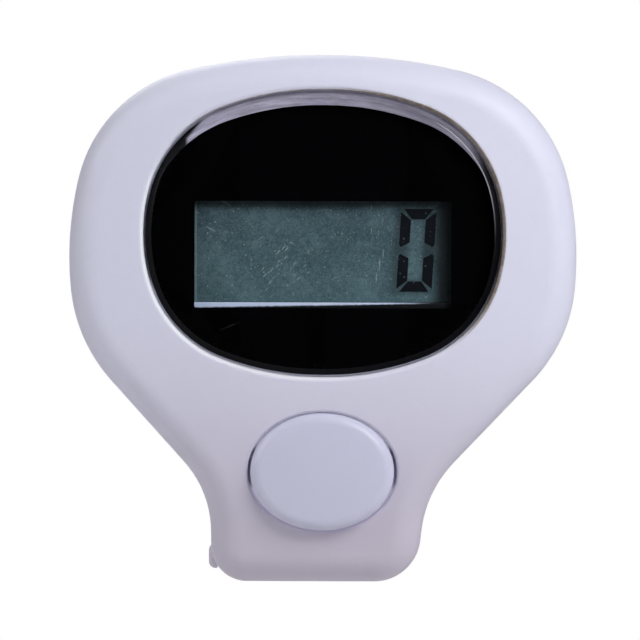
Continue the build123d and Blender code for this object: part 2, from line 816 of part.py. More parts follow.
# Reset button, kept in by its flange and a little below the back
reset_foot = board_back - reset_switch_height - reset_plunger_height - press_gap
with BuildPart() as reset_button:
    with BuildSketch(at_height(reset_foot)):
        with Locations(reset_place):
            Circle(reset_radius + reset_flange)
    extrude(amount=back_inner + seat_gap - reset_foot)
    with BuildSketch(at_height(reset_foot)):
        with Locations(reset_place):
            Circle(reset_radius)
    extrude(amount=reset_recess - back_depth - reset_foot)
    fillet(reset_button.faces().sort_by(Axis.Y)[-1].edges(), reset_edge_radius)

reset_button.part.label = "reset_button"
export_step(reset_button.part, "parts/reset_button.step")

# Button cell: the can, with the smaller cap of its front pole
with BuildPart() as battery_cell:
    with BuildSketch(at_height(cell_back)):
        with Locations((0, cell_z)):
            Circle(cell_radius)
    extrude(amount=cell_thickness - cell_cap_height)
    fillet(battery_cell.faces().sort_by(Axis.Y)[-1].edges(), cell_edge_radius)
    with BuildSketch(at_height(cell_front)):
        with Locations((0, cell_z)):
            Circle(cell_radius - cell_cap_inset)
    extrude(amount=-cell_cap_height)

battery_cell.part.label = "battery_cell"
export_step(battery_cell.part, "parts/battery_cell.step")

# Spring strip on the front of the board that reaches over the notch to the cell's cap
strip_bottom = cell_z - well_radius - contact_overlap
with BuildPart() as battery_contact_negative:
    with BuildSketch(at_height(board_front)):
        with Locations((0, strip_bottom)):
            Rectangle(
                contact_width, cell_z + contact_dimple_radius - strip_bottom, align=(Align.CENTER, Align.MIN)
            )
    extrude(amount=contact_sheet)
    with BuildSketch(at_height(cell_front + seat_gap)):
        with Locations((0, cell_z)):
            Circle(contact_dimple_radius)
    extrude(amount=board_front - cell_front - seat_gap)

battery_contact_negative.part.label = "battery_contact_negative"
export_step(battery_contact_negative.part, "parts/battery_contact_negative.step")

# Clip on the back of the board that stands against the cell's side
clip_inner = cell_radius + seat_gap
with BuildPart() as battery_contact_positive:
    with BuildSketch(at_height(board_back)):
        with Locations((clip_inner, cell_z)):
            Rectangle(clip_foot, clip_width, align=(Align.MIN, Align.CENTER))
    extrude(amount=-contact_sheet)
    with BuildSketch(at_height(board_back)):
        with Locations((clip_inner, cell_z)):
            Rectangle(contact_sheet, clip_width, align=(Align.MIN, Align.CENTER))
    extrude(amount=-clip_height)

battery_contact_positive.part.label = "battery_contact_positive"
export_step(battery_contact_positive.part, "parts/battery_contact_positive.step")

# Battery door: coin slot outside, two lugs that turn under the ledge of the well
with BuildPart() as battery_door:
    with BuildSketch(at_height(-back_depth)):
        with Locations((0, cell_z)):
            Circle(door_radius)
    extrude(amount=door_flange_thickness)
    fillet(battery_door.faces().sort_by(Axis.Y)[-1].edges(), door_edge_radius)
    with BuildSketch(at_height(door_flange_inner)):
        with Locations((0, cell_z)):
            Circle(well_radius - door_plug_clearance)
    extrude(amount=door_plug_depth)
    with BuildSketch(at_height(door_groove_back + door_lug_clearance)):
        with Locations((0, cell_z)):
            Circle(groove_radius - door_clearance)
            Rectangle(door_radius * 2, door_lug_width, mode=Mode.INTERSECT)
    extrude(amount=door_plug_front - door_groove_back - door_lug_clearance)
    with BuildSketch(at_height(-back_depth)):
        with Locations((0, cell_z)):
            SlotOverall(door_slot_length, door_slot_width)
    extrude(amount=door_slot_depth, mode=Mode.SUBTRACT)

battery_door.part.label = "battery_door"
export_step(battery_door.part, "parts/battery_door.step")


def cross_headed(places, seat, head_radius, head_height, shank_radius, length):
    """Screws driven forwards, with their heads behind the seat and a cross recess in each."""
    with BuildPart() as screws:
        with BuildSketch(at_height(seat)):
            with Locations(*places):
                Circle(head_radius)
        extrude(amount=-head_height)
        fillet(screws.faces().group_by(Axis.Y)[-1].edges(), head_height * head_round_share)
        with BuildSketch(at_height(seat - head_height)):
            with Locations(*places):
                Rectangle(head_radius, drive_slot_width)
                Rectangle(drive_slot_width, head_radius)
        extrude(amount=drive_slot_depth, mode=Mode.SUBTRACT)
        with BuildSketch(at_height(seat)):
            with Locations(*places):
                Circle(shank_radius)
        extrude(amount=length)
        chamfer(screws.faces().group_by(Axis.Y)[0].edges(), shank_radius / 2)
    return screws.part


case_screws = cross_headed(
    case_screw_places, case_screw_seat, case_screw_head_radius, case_screw_head_height,
    case_screw_radius, case_screw_length
)
case_screws.label = "case_screws"
export_step(case_screws, "parts/case_screws.step")

board_screws = cross_headed(
    board_screw_places, board_back, board_screw_head_radius, board_screw_head_height,
    board_screw_radius, board_screw_length
)
board_screws.label = "board_screws"
export_step(board_screws, "parts/board_screws.step")

# Finger strap: a band round the finger from the hinge at the foot to the peg on the back
tab_turn_y = strap_tab_y + strap_bend_radius
strap_run_z = strap_floor_gap + strap_thickness / 2
with BuildLine() as strap_path:
    Line((hinge_pin_depth, strap_run_z), (strap_centre_y, strap_run_z))
    CenterArc((strap_centre_y, strap_centre_z), strap_line_radius, -90, 180)
    Line((strap_centre_y, strap_top_z), (tab_turn_y, strap_top_z))
    CenterArc((tab_turn_y, strap_top_z + strap_bend_radius), strap_bend_radius, 180, 90)
    Line((strap_tab_y, strap_top_z + strap_bend_radius), (strap_tab_y, strap_tab_top - strap_thickness / 2))

strap_wire = Wire(strap_path.edges())
with BuildPart() as finger_strap:
    with BuildSketch(Plane.YZ):
        with BuildLine():
            add(strap_path.line)
            offset(amount=strap_thickness / 2, side=Side.BOTH)
        make_face()
    extrude(amount=strap_width / 2, both=True)
    with BuildSketch(Plane.YZ):
        with Locations((hinge_pin_depth, hinge_pin_z)):
            Circle(hinge_knuckle_radius)
    extrude(amount=strap_width / 2, both=True)
    fillet(finger_strap.faces().filter_by(Axis.X).edges(), strap_edge_radius)
    with BuildSketch(at_height(-strap_tab_y)):
        with Locations((0, strap_tab_top)):
            Rectangle(strap_width, strap_end_radius * 2)
            RectangleRounded(
                strap_width,
                strap_end_radius * 3,
                strap_end_radius,
                align=(Align.CENTER, Align.MAX),
                mode=Mode.SUBTRACT,
            )
    extrude(amount=strap_thickness, both=True, mode=Mode.SUBTRACT)
    with BuildSketch(Plane.YZ.offset(-strap_width)):
        with Locations((hinge_pin_depth, hinge_pin_z)):
            Circle(hinge_pin_radius + hinge_clearance)
    extrude(amount=strap_width * 2, mode=Mode.SUBTRACT)
    for step in strap_hole_steps:
        spot = strap_wire.length + strap_thickness / 2 - strap_tail - step * strap_hole_pitch
        point = strap_wire.position_at(spot, position_mode=PositionMode.LENGTH)
        along = strap_wire.tangent_at(spot, position_mode=PositionMode.LENGTH)
        with BuildSketch(Plane(origin=(0, point.X, point.Y), z_dir=(0, -along.Y, along.X))):
            Circle(strap_hole_radius)
        extrude(amount=strap_thickness, both=True, mode=Mode.SUBTRACT)

finger_strap.part.label = "finger_strap"
export_step(finger_strap.part, "parts/finger_strap.step")

# Pin of the strap's hinge, pressed in from the left, with its head proud of the case's side
with BuildPart() as strap_pin:
    with BuildSketch(Plane.YZ.offset(-foot_left - pin_head_proud)):
        with Locations((hinge_pin_depth, hinge_pin_z)):
            Circle(pin_head_radius)
    extrude(amount=pin_head_sink + pin_head_proud)
    fillet(strap_pin.faces().sort_by(Axis.X)[0].edges(), pin_head_edge_radius)
    with BuildSketch(Plane.YZ.offset(pin_head_sink - foot_left)):
        with Locations((hinge_pin_depth, hinge_pin_z)):
            Circle(hinge_pin_radius)
    extrude(amount=foot_left + foot_right - pin_head_sink - pin_end_wall)

strap_pin.part.label = "strap_pin"
export_step(strap_pin.part, "parts/strap_pin.step")
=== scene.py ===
import json
import math

import bmesh
import bpy
from mathutils import Matrix, Vector


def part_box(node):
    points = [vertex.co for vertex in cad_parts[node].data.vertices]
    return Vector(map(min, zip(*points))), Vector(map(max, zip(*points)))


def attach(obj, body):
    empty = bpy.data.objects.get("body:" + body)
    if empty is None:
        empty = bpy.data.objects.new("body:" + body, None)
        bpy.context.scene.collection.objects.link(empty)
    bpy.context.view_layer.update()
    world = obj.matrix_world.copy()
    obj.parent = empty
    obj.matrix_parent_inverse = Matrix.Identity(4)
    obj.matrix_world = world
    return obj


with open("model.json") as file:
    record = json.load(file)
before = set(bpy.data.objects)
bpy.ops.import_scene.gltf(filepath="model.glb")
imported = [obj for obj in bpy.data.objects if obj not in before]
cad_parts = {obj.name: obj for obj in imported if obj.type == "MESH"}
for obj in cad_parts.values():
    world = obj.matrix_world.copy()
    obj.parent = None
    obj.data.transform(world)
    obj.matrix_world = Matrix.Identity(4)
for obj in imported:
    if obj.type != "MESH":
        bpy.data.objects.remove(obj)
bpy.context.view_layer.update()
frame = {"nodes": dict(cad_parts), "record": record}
nodes = frame["nodes"]

# A finger tally counter. The display faces -Y and +Z is up. Blender's own places are in metres.
# The named places and sizes of the front and its finishes are in millimetres, and mm turns them into metres.
mm = 0.001

# The window over the display, and how its upper edge bends down to both sides of its crest
lens_low, lens_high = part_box("display_lens")
window_middle = (lens_low.z + lens_high.z) / 2 / mm
window_crest = lens_high.z / mm
crest_bend = 0.0183
crest_steepening = 0.00009

# The opening in the black print, through which the display film shows
film_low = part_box("lcd_front_polarizer")[0]
opening_half_width = 9.6
opening_top = 28.55

# The bright rail that shows under the film, and how fast it narrows to the right
rail_height = 0.44
rail_low = film_low.z / mm - rail_height
rail_slope = 0.019

# The digit that shows at rest, a nought on the last place
digit_centre = (7.0, 24.9)
digit_slant = 0.06
digit_height = 6.2
digit_width = 2.66
digit_stroke = 0.78
digit_gap = 0.14
digit_depth = 0.02


def linear(red, green, blue):
    """A colour given by its screen values from 0 to 255, as the shaders take it."""
    values = []
    for value in (red, green, blue):
        share = value / 255
        values.append(share / 12.92 if share <= 0.04045 else ((share + 0.055) / 1.055) ** 2.4)
    return (*values, 1.0)


black = linear(0, 0, 0)
white = linear(255, 255, 255)


class Wire:
    """One socket in a material. Arithmetic on wires adds Math nodes; node() adds any other node."""

    def __init__(self, tree, socket=None):
        self.tree = tree
        self.socket = socket

    def node(self, kind, settings=None, sockets=None, output=0):
        """A new node with its settings and then the values or wires of its sockets; gives one output."""
        made = self.tree.nodes.new("ShaderNode" + kind)
        for name, value in (settings or {}).items():
            setattr(made, name, value)
        for name, value in (sockets or {}).items():
            if isinstance(value, Wire):
                self.tree.links.new(value.socket, made.inputs[name])
            else:
                made.inputs[name].default_value = value
        return Wire(self.tree, made.outputs[output] if made.outputs else None)

    def math(self, operation, *values):
        return self.node("Math", {"operation": operation}, dict(enumerate(values)))

    def vector(self, operation, *values, output="Vector"):
        return self.node("VectorMath", {"operation": operation}, dict(enumerate(values)), output)

    def __add__(self, other):
        return self.math("ADD", self, other)

    def __sub__(self, other):
        return self.math("SUBTRACT", self, other)

    def __rsub__(self, other):
        return self.math("SUBTRACT", other, self)

    def __mul__(self, other):
        return self.math("MULTIPLY", self, other)

    def __truediv__(self, other):
        return self.math("DIVIDE", self, other)

    def __gt__(self, other):
        return self.math("GREATER_THAN", self, other)

    def __lt__(self, other):
        return self.math("LESS_THAN", self, other)

    __radd__ = __add__
    __rmul__ = __mul__

    def absolute(self):
        return self.math("ABSOLUTE", self)

    def sine(self):
        return self.math("SINE", self)

    def larger(self, other):
        """The larger of two values."""
        return self.math("MAXIMUM", self, other)

    def between(self, low, high):
        """0 below low, 1 above high and smooth in between."""
        return self.node(
            "MapRange",
            {"interpolation_type": "SMOOTHSTEP"},
            {"Value": self, "From Min": low, "From Max": high},
        )

    def axis(self, letter):
        """One number of a vector."""
        return self.node("SeparateXYZ", sockets={"Vector": self}, output=letter)

    def mix(self, factor, first, second, kind="MIX"):
        """The first colour where the factor is 0. Where it is 1, the second, or with MULTIPLY both."""
        return self.node(
            "Mix",
            {"data_type": "RGBA", "blend_type": kind},
            {"Factor": factor, 6: first, 7: second},
            output=2,
        )

    def blend(self, first, second):
        """The first colour where this wire is 0, the second where it is 1."""
        return self.mix(self, first, second)


class Finish:
    """A material being made. Places on the part come in millimetres."""

    def __init__(self, name):
        self.material = bpy.data.materials.new(name)
        self.material.use_nodes = True
        self.material.node_tree.nodes.clear()
        self.start = Wire(self.material.node_tree)
        self.place = self.scaled(self.start.node("TexCoord", output="Object"), 1 / mm)
        self.x, self.y, self.z = (self.place.axis(letter) for letter in "XYZ")

    def facing(self, letter):
        """How far the surface faces along an axis, from -1 to 1."""
        return self.start.node("NewGeometry", output="Normal").axis(letter)

    def scaled(self, vector, factor):
        """A vector times a number, or times one number for each axis."""
        factors = factor if isinstance(factor, tuple) else (factor, factor, factor)
        return self.start.vector("MULTIPLY", vector, factors)

    def turned(self, vector, angle):
        """A vector turned in the plane of the display, by degrees."""
        return self.start.node(
            "VectorRotate",
            {"rotation_type": "Y_AXIS"},
            {"Vector": vector, "Angle": math.radians(angle)},
        )

    def noise(self, per_mm, detail=2.0, roughness=0.5, at=None, stretch=None):
        """Cloudy noise from 0 to 1, with this many lumps to the millimetre."""
        at = at or self.place
        if stretch:
            at = self.scaled(at, stretch)
        return self.start.node(
            "TexNoise",
            sockets={"Vector": at, "Scale": per_mm, "Detail": detail, "Roughness": roughness},
        )

    def specks(self, per_mm, size, share, at=None):
        """Small round specks: 1 inside one, 0 outside. Only this share of the cells holds one."""
        cell = {"Vector": at or self.place, "Scale": per_mm, "Randomness": 1.0}
        distance = self.start.node("TexVoronoi", sockets=cell, output="Distance")
        tint = self.start.node("TexVoronoi", sockets=cell, output="Color")
        chosen = self.start.node("SeparateColor", sockets={"Color": tint}, output="Red") < share
        return (1 - distance.between(size * 0.6, size)) * chosen

    def scratches(self, angle, per_mm, length, share, width=0.16):
        """Fine straight scratches along one direction in the plane of the display."""
        drawn_out = self.scaled(self.turned(self.place, angle), (1 / length, 1.0, 1.0))
        return self.specks(per_mm, width, share, at=drawn_out)

    def away_from(self, x, z, reach, width, angle=0):
        """How far off a place on the front is: 1 is one reach along the angle, or one width across it."""
        offset = self.start.vector("SUBTRACT", self.place, (x, 0.0, z))
        flat = self.scaled(self.turned(offset, angle), (1 / reach, 0.0, 1 / width))
        return self.start.vector("LENGTH", flat, output="Value")

    def spot(self, x, z, size):
        """1 within this size of a place on the front, fading to 0 at twice the size."""
        return 1 - self.away_from(x, z, size, size).between(1.0, 2.0)

    def mark(self, x, z, reach, width, angle):
        """One fine scratch on the front at a place and an angle."""
        return 1 - self.away_from(x, z, reach, width, angle).between(0.4, 1.0)

    def crest_depth(self):
        """How far a place lies under the upper edge of the lens, which falls off to both sides."""
        square = self.x * self.x
        return window_crest - self.z - square * crest_bend - square * square * crest_steepening

    def bump(self, height, distance):
        """The normal of a surface with this relief, where a height of 1 stands this many millimetres up."""
        sockets = {"Height": height, "Distance": distance * mm, "Strength": 1.0}
        return self.start.node("Bump", sockets=sockets)

    def principled(self, **sockets):
        """A Principled shader. Its sockets are named in small letters, with underscores for the spaces."""
        named = {}
        for name, value in sockets.items():
            named[name.replace("_", " ").title().replace("Ior", "IOR")] = value
        return self.start.node("BsdfPrincipled", sockets=named)

    def done(self, shader):
        self.start.node("OutputMaterial", sockets={"Surface": shader})
        return self.material


# Painted shade at the window's edge: the ellipse that it keeps to, how far past the crest it goes, and its
# rearmost level
edge_shade_half_width = 14.0
edge_shade_half_height = 11.5
edge_shade_past_crest = 0.6
edge_shade_back = -2.0
# The colours of the painted shade and of the painted highlight
shade_brown = linear(120, 102, 82)
highlight_white = linear(246, 248, 255)


def shaded_window_edge(made, colour):
    """Painted brown shade on the window's inner edge, heavier at its right, and a painted highlight at its
    lower left.
    """
    across = made.x / edge_shade_half_width
    up = (made.z - window_middle) / edge_shade_half_height
    in_front = made.y < edge_shade_back
    facing = made.facing("Y")
    inside = (made.crest_depth() > -edge_shade_past_crest) * (across * across < 1.0) * up.between(-0.85, -0.55)
    side = (across + up * 0.35).between(0.3, 0.75)
    crest = up.between(0.5, 0.85) * (1 - side)
    shade_patches = made.noise(1.4, detail=4.0, roughness=0.7).between(0.2, 0.6)
    wide = facing.between(-0.99, -0.88) * side * 0.95
    thin = facing.between(-0.75, -0.5) * crest * 0.85
    painted_edge_shade = (wide + thin) * inside * in_front * (shade_patches * 0.4 + 0.6)
    lower_left = (across * -0.7 - up * 0.5).between(0.2, 0.6) * (across * across + up * up < 1.3)
    painted_highlight = facing.between(-0.98, -0.86) * lower_left * in_front
    return painted_edge_shade.blend((painted_highlight * 0.7).blend(colour, highlight_white), shade_brown)


# Wear and painted shade on the case: the x, z and size of each nick, the level that they lie in front of, how
# far the soiling goes from the seam, and how far up the painted shade at the foot goes
nick_places = ((14.67, 35.86, 0.08), (10.38, 38.27, 0.06))
nick_back = -3.4
seam_dirt_width = 0.07
foot_shade_top = 21.0


def case_shade_and_wear(made, colour):
    """Warmer painted shade towards the foot and on the left flank, with nicks at the upper right and a soiled
    seam.
    """
    wear_and_shade = 1 - made.z.between(1.0, foot_shade_top)
    flank = (0 - made.x - made.z * 0.3).between(4.0, 12.0) * made.y.between(-4.4, -2.4)
    # Painted shade: warmer and darker towards the foot and on the left flank
    shaded_case = (wear_and_shade * 0.75).larger(flank * 0.4).blend(colour, linear(196, 185, 202))
    nicks = sum(made.spot(*place) for place in nick_places) * (made.y < nick_back)
    seam = 1 - made.y.absolute().between(0.02, seam_dirt_width)
    return (nicks * 0.6 + seam * 0.65).blend(shaded_case, linear(70, 66, 70))


# The gap round the count button: the levels between which its wall glows with painted light, and the dark
# slit at each side
gap_front = -4.3
gap_back = -1.0
slit_centre = (-0.2, 8.7)
slit_start = 4.4


def painted_gap_glow(made):
    """1 on the button's wall where it glows with painted light, as if light came up the gap; 0 in the dark
    slits at its sides.
    """
    aside = (made.x - slit_centre[0]).absolute() > slit_start
    slit = aside * (1 - (made.z - slit_centre[1]).absolute().between(1.0, 1.8))
    return (made.y > gap_front) * (made.y < gap_back) * (1 - slit)


def moulded_white(name, tint, roughness, grain, mottle=0.03, window=False, glow=0.0):
    """White moulded plastic: faint flow clouds, a fine spark-eroded grain and a few dust specks."""
    made = Finish(name)
    clouds = made.noise(0.09, detail=3.0)
    lumps = made.noise(1.3, detail=4.0)
    dust = made.specks(1.1, 0.045, 0.05)
    shade = 1 - (clouds - 0.5) * mottle * 1.6 - (lumps - 0.5) * mottle
    grey = made.start.node("CombineColor", sockets={"Red": shade, "Green": shade, "Blue": shade})
    pale = made.start.mix(1.0, linear(*tint), grey, kind="MULTIPLY")
    colour = (dust * 0.35).blend(pale, linear(120, 112, 108))
    if window:
        # Painted shade and highlight round the window, then painted shade towards the foot, with nicks and a
        # soiled seam
        colour = case_shade_and_wear(made, shaded_window_edge(made, colour))
    texture = made.noise(grain, detail=3.0, roughness=0.6)
    ripple = made.noise(0.5, detail=1.0)
    light = {}
    # Painted light: the button's wall glows in the gap round it
    if glow:
        lit = painted_gap_glow(made).blend(black, linear(150, 148, 152))
        light = {"emission_color": lit, "emission_strength": glow}
    return made.done(
        made.principled(
            base_color=colour,
            roughness=roughness + (lumps - 0.5) * 0.14 + dust * 0.2,
            specular_ior_level=0.45,
            subsurface_weight=0.12,
            subsurface_radius=(1.0, 0.9, 0.95),
            subsurface_scale=0.9 * mm,
            normal=made.bump(texture * 0.7 + ripple * 0.3, 0.012),
            **light,
        )
    )


# Hairline marks on the lens: the x, z, reach, width and angle of each, and its strength
lens_marks = (((-7.0, 19.2, 1.2, 0.07, 24), 1.0), ((1.6, 17.6, 0.5, 0.05, 35), 0.5))


def clear_lens():
    """Clear acrylic with hairline marks. Its rim is inked black but for the top and a painted glint at the
    upper right.
    """
    made = Finish("lens_acrylic")
    marks = sum(made.mark(*place) * strength for place, strength in lens_marks)
    haze = made.noise(0.6, detail=3.0)
    swell = made.noise(0.12, detail=0.0)
    slanted = 1 - made.facing("Y").absolute().between(0.86, 0.97)
    front_edge = 1 - (made.y - lens_low.y / mm).between(0.02, 0.08)
    upper_right = made.x.between(7.0, 9.5) * (made.z - window_middle).between(-1.0, 6.0)
    glint = slanted * front_edge * upper_right
    rim = (slanted * (1 - made.facing("Z").between(0.12, 0.4))).larger(glint)
    gloss = made.principled(
        base_color=(0.9, 0.92, 0.95, 1.0),
        metallic=1.0,
        roughness=0.03 + haze * 0.03 + marks * 0.3,
        normal=made.bump(swell, 0.01),
    )
    dark = haze.blend(linear(3, 3, 5), linear(10, 10, 16))
    ink = made.principled(
        # The painted glint: pale grey ink where a highlight would be
        base_color=(glint * 0.9).blend(dark, linear(186, 188, 200)),
        roughness=0.34 + haze * 0.1,
        specular_ior_level=0.12,
    )
    pane = made.start.node("BsdfTransparent", sockets={"Color": (0.95, 0.96, 0.97, 1.0)})
    from_inside = made.start.node("NewGeometry", output="Backfacing")
    marked = marks * 0.06 * (1 - from_inside)
    clear = made.start.node("MixShader", sockets={0: marked, 1: pane, 2: gloss})
    return made.done(made.start.node("MixShader", sockets={0: rim, 1: clear, 2: ink}))


def lens_gloss(roughness):
    """The reflection of the clear lens, as a coat on what lies behind it."""
    return {"coat_weight": 1.0, "coat_roughness": roughness, "coat_ior": 1.47}


def printed_black():
    """Black print on the back of the lens, with a few pinholes of dust."""
    made = Finish("mask_print")
    dust = made.specks(1.4, 0.05, 0.06)
    cloud = made.noise(0.4, detail=4.0)
    base = cloud.blend(linear(0, 0, 1), linear(1, 1, 3))
    return made.done(
        made.principled(
            base_color=(dust * 0.4).blend(base, linear(60, 60, 70)),
            roughness=0.6 + cloud * 0.2,
            specular_ior_level=0.03,
            **lens_gloss(0.04),
        )
    )


def tape_foam():
    """Mauve-grey foam tape under the rim of the lens."""
    made = Finish("tape_foam")
    cells = made.noise(5.0, detail=3.0, roughness=0.65)
    colour = cells.between(0.3, 0.72).blend(linear(142, 138, 154), linear(186, 182, 200))
    return made.done(made.principled(base_color=colour, roughness=0.6, normal=made.bump(cells, 0.02)))


# Where the glue turns black: past a slanted cut at its left, and past an upright line at each end
cut_place = (-8.8, 34.73)
cut_outwards = (-0.755, 0.655)
glue_left = -10.1
glue_right = 11.4


def cured_glue():
    """Cured glue in the clear rim over the print, with a painted glow: mauve streaks along the crest, black
    beyond its ends.
    """
    made = Finish("rim_glue")
    depth = made.crest_depth()
    along = made.start.node("CombineXYZ", sockets={"X": made.x * 0.1, "Y": 0.0, "Z": depth * 1.5})
    streaks = made.noise(2.2, detail=4.0, roughness=0.7, at=along).between(0.3, 0.7)
    grit = made.noise(6.0, detail=2.0)
    # A painted shadow along the outer edge, under the crest
    outer = 1 - depth.between(-0.05, 0.22)
    past_cut = (made.x - cut_place[0]) * cut_outwards[0] + (made.z - cut_place[1]) * cut_outwards[1]
    ends = past_cut.between(-0.05, 0.2).larger((glue_left - made.x).between(-0.1, 0.25))
    ends = ends.larger((made.x - glue_right).between(-0.6, 0.9))
    tone = (streaks * 0.8 + grit * 0.2).blend(linear(110, 105, 120), linear(176, 172, 190))
    # Painted shade: darker towards the right
    right_shaded = (made.x.between(-6.0, 10.0) * 0.6).blend(tone, linear(84, 80, 92))
    shaded = (outer * 0.45).blend(right_shaded, linear(70, 66, 74))
    colour = ends.blend(shaded, linear(4, 4, 7))
    return made.done(
        made.principled(
            base_color=colour,
            roughness=0.4 + grit * 0.2,
            # Painted light: the glue glows in its own colour
            emission_color=colour,
            emission_strength=0.8,
            normal=made.bump(streaks, 0.02),
        )
    )


# Wear on the display film: the x, z and size of the rubbed spot, and the x of a worn upright line
rubbed_spot = (-3.4, 23.9, 1.5)
worn_line_x = 3.9

# How far the digit's painted shadow lies to its left, and a painted highlight line to the right of the
# opening's left edge
shadow_shift = 0.1
edge_highlight_inset = 0.1


def worn_film(made, colour):
    """Slanted scratches round the rubbed spot, upright ones along the line of wear, a few strays and dust."""
    worn_line = 1 - (made.x - worn_line_x).absolute().between(0.3, 1.2)
    rubs = made.scratches(48, 5.0, 5.0, 0.8, width=0.24) * (made.spot(*rubbed_spot) * 0.92 + 0.08)
    upright = made.scratches(86, 4.4, 8.0, 0.8, width=0.24) * (worn_line * 0.95 + 0.05)
    strays = made.scratches(-28, 2.1, 6.0, 0.1, width=0.2)
    dust = made.specks(2.2, 0.17, 0.3) + made.specks(4.5, 0.25, 0.2)
    rubbed = (rubs * 0.42 + upright * 0.34 + strays * 0.25).blend(colour, linear(200, 215, 215))
    return (dust * 0.34).blend(rubbed, linear(196, 208, 206))


def film_shade(made):
    """Shade on the film: of the print at the right and the top, and of the digit round its strokes."""
    right = (made.x - opening_half_width).between(-2.0, -0.6)
    top = (made.z - opening_top).between(-0.75, -0.1)
    above = made.z - digit_centre[1]
    up = above.absolute()
    across = (made.x - digit_centre[0] - above * digit_slant + shadow_shift).absolute()
    around = (1 - across.between(1.3, 2.0)) * (1 - up.between(3.0, 3.6))
    hollow = (1 - across.between(0.3, 0.8)) * (1 - up.between(1.8, 2.5))
    return right.larger(top * 0.85).larger(around * (1 - hollow) * 0.5)


def polarizer_film():
    """Grey-green display film: mottled, greener low down, painted shade up top and at its edges, rubbed and
    dusty.
    """
    made = Finish("display_film")
    clouds = made.noise(0.35, detail=5.0, roughness=0.62)
    fine = made.noise(2.6, detail=4.0, roughness=0.7)
    grain = made.noise(8.0, detail=2.0, roughness=0.8)
    # Painted shade: the film is lighter low down and darker towards the top
    base = made.z.between(20.0, 27.5).blend(linear(76, 109, 113), linear(50, 73, 80))
    patch = (clouds * 0.35 + fine * 0.25 + grain * 0.4).between(0.32, 0.68)
    tone = patch.blend(linear(38, 56, 64), linear(120, 146, 152))
    wear_and_shade = worn_film(made, made.start.mix(0.55, base, tone))
    # A painted highlight: a bright line just inside the opening's left edge
    painted_edge_highlight = 1 - (made.x + opening_half_width - edge_highlight_inset).absolute().between(0.03, 0.1)
    lit = (painted_edge_highlight * 0.3).blend(wear_and_shade, linear(170, 186, 190))
    return made.done(
        made.principled(
            base_color=(film_shade(made) * 0.92).blend(lit, linear(9, 10, 13)),
            roughness=0.32 + fine * 0.2,
            specular_ior_level=0.3,
            normal=made.bump(fine, 0.006),
            **lens_gloss(0.06),
        )
    )


def segment_ink():
    """Dark liquid crystal of the segments that show, with tiny bright pinholes."""
    made = Finish("segment_dark")
    dots = made.specks(3.0, 0.24, 0.5)
    cloud = made.noise(2.0, detail=3.0)
    base = cloud.blend(linear(5, 7, 14), linear(16, 20, 28))
    return made.done(
        made.principled(
            base_color=(dots * 0.42).blend(base, linear(120, 128, 138)),
            roughness=0.5,
            specular_ior_level=0.15,
            **lens_gloss(0.06),
        )
    )


def plain_moulding(name, dark, light, roughness, grain=4.0):
    """Coloured moulding or coating with a fine grain between two shades."""
    made = Finish(name)
    cloud = made.noise(grain, detail=4.0)
    wide = made.noise(0.4, detail=2.0)
    return made.done(
        made.principled(
            base_color=(cloud * 0.5 + wide * 0.5).between(0.3, 0.7).blend(linear(*dark), linear(*light)),
            roughness=roughness + (cloud - 0.5) * 0.12,
            normal=made.bump(cloud, 0.012),
        )
    )


def carrier_white():
    """White carrier of the display. The mask's printed edge dips across its lower rail to the right, and
    painted shade darkens its right end.
    """
    made = Finish("carrier_moulding")
    cloud = made.noise(3.0, detail=4.0)
    bare = cloud.blend(linear(218, 232, 255), linear(242, 249, 255))
    edge = made.z - rail_low - (made.x + opening_half_width) * rail_slope
    # Painted shade: the rail turns dark towards its right end
    shown = (edge + (cloud - 0.5) * 0.08).between(-0.06, 0.06) * (1 - made.x.between(5.0, 8.8))
    return made.done(
        made.principled(
            base_color=shown.blend(linear(4, 4, 6), bare),
            roughness=0.35 + cloud * 0.1,
            # Painted light: a faint blue glow where the rail shows
            emission_color=shown.blend(black, (0.1, 0.25, 1.0, 1.0)),
            emission_strength=0.08,
            normal=made.bump(cloud, 0.01),
        )
    )


def display_glass():
    """Thin glass of the display cell, with a pale green tint and a coated, slightly uneven face."""
    made = Finish("cell_glass")
    coat = made.noise(0.5, detail=2.0)
    colour = coat.blend((0.72, 0.86, 0.84, 1.0), (0.82, 0.92, 0.9, 1.0))
    return made.done(
        made.principled(base_color=colour, roughness=0.06 + coat * 0.06, ior=1.5, transmission_weight=0.85)
    )


def metal(name, tint, dark, roughness, lines=(1.0, 1.0, 1.0)):
    """Plated metal with drawn lines, faint stains and scuffs."""
    made = Finish(name)
    drawn = made.noise(6.0, detail=5.0, stretch=lines)
    stains = made.noise(0.5, detail=4.0).between(0.5, 0.78)
    scuffs = made.scratches(30, 2.0, 6.0, 0.1)
    plating = drawn.between(0.3, 0.7).blend(linear(*dark), linear(*tint))
    return made.done(
        made.principled(
            base_color=(stains * 0.4).blend(plating, linear(*dark)),
            metallic=1.0,
            roughness=roughness + (drawn - 0.5) * 0.25 + scuffs * 0.15,
            normal=made.bump(drawn, 0.008),
        )
    )


# How fast the board's weave and the contact strip's layers repeat, in radians to the millimetre, and how far
# from the middle of its cell a copper track runs, as a share of the cell
weave_rate = 9.0
layer_rate = 60.0
track_share = 0.42


